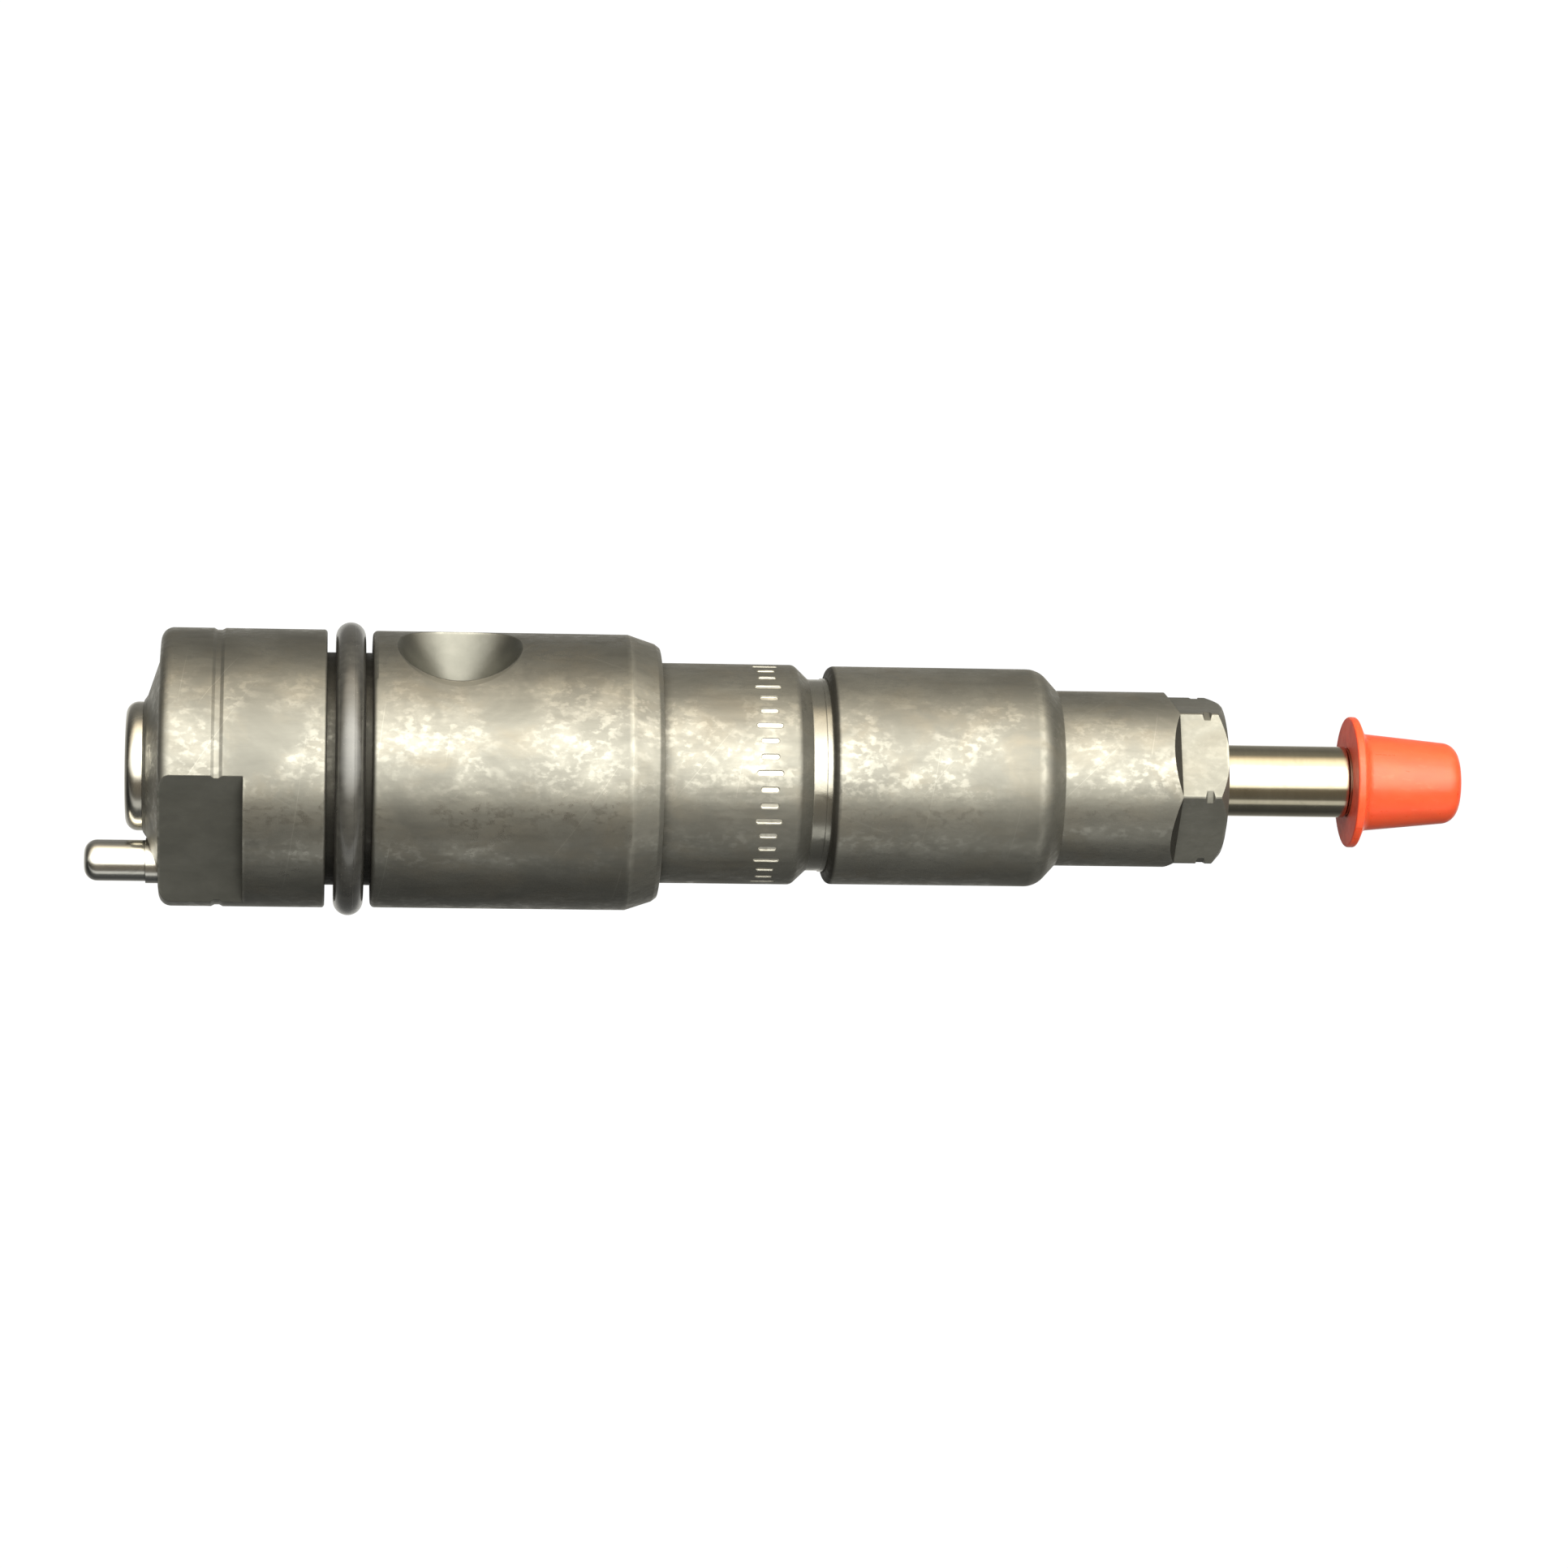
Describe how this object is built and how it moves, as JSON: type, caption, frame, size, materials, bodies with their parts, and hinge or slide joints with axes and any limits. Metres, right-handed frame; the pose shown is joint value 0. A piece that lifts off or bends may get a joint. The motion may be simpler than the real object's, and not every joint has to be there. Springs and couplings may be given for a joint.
{
  "type": "fuel injector",
  "caption": "Mechanical diesel fuel injector: steel nozzle holder with side fuel inlet cone, O-ring, hexagon-ended retaining nut, nozzle and orange push-on protective cap.",
  "frame": {"origin": "centre of the sealing face at the front end of the retaining nut, on the injector's axis", "axes": "+X along the injector's axis from the head towards the nozzle tip, +Z along the axis of the lateral fuel inlet, outwards"},
  "size_m": [0.1347, 0.0284, 0.0284],
  "materials": {
    "phosphated_steel": "dark phosphated and oiled turned steel, rubbed bright on high spots",
    "bright_steel": "bare turned or ground steel",
    "polished_pin": "polished hardened steel",
    "lapped_steel": "ground and lapped hardened steel",
    "spring_steel": "oiled spring wire",
    "o_ring_rubber": "black satin rubber",
    "cap_plastic": "orange-red moulded soft plastic, satin gloss"
  },
  "bodies": {
    "holder": {"holder_body": "phosphated_steel", "thrust_button": "bright_steel", "locating_pin": "polished_pin", "body_o_ring": "o_ring_rubber", "pressure_shim": "bright_steel", "spring_washer": "bright_steel", "nozzle_spring": "spring_steel", "intermediate_disc": "bright_steel", "holder_dowels": "bright_steel", "nozzle_dowels": "bright_steel", "nozzle_body": "lapped_steel", "retaining_nut": "phosphated_steel"},
    "needle": {"nozzle_needle": "lapped_steel"},
    "spindle": {"spring_seat": "bright_steel", "pressure_pin": "bright_steel"},
    "cap": {"nozzle_cap": "cap_plastic"}
  },
  "joints": [
    {"name": "needle_lift", "type": "slide", "parent": "holder", "child": "needle", "axis": [-1, 0, 0], "range_m": [0, 0.0003], "stiffness_N_per_m": 400, "springref_m": -0.002},
    {"name": "spindle_lift", "type": "slide", "parent": "holder", "child": "spindle", "axis": [-1, 0, 0], "range_m": [0, 0.0003], "deforming": ["nozzle_spring"]},
    {"name": "cap_pull", "type": "slide", "parent": "holder", "child": "cap", "axis": [1, 0, 0], "range_m": [0, 0.06]}
  ],
  "couplings": [
    {"joint": "spindle_lift", "follows": "needle_lift", "ratio": 1}
  ]
}
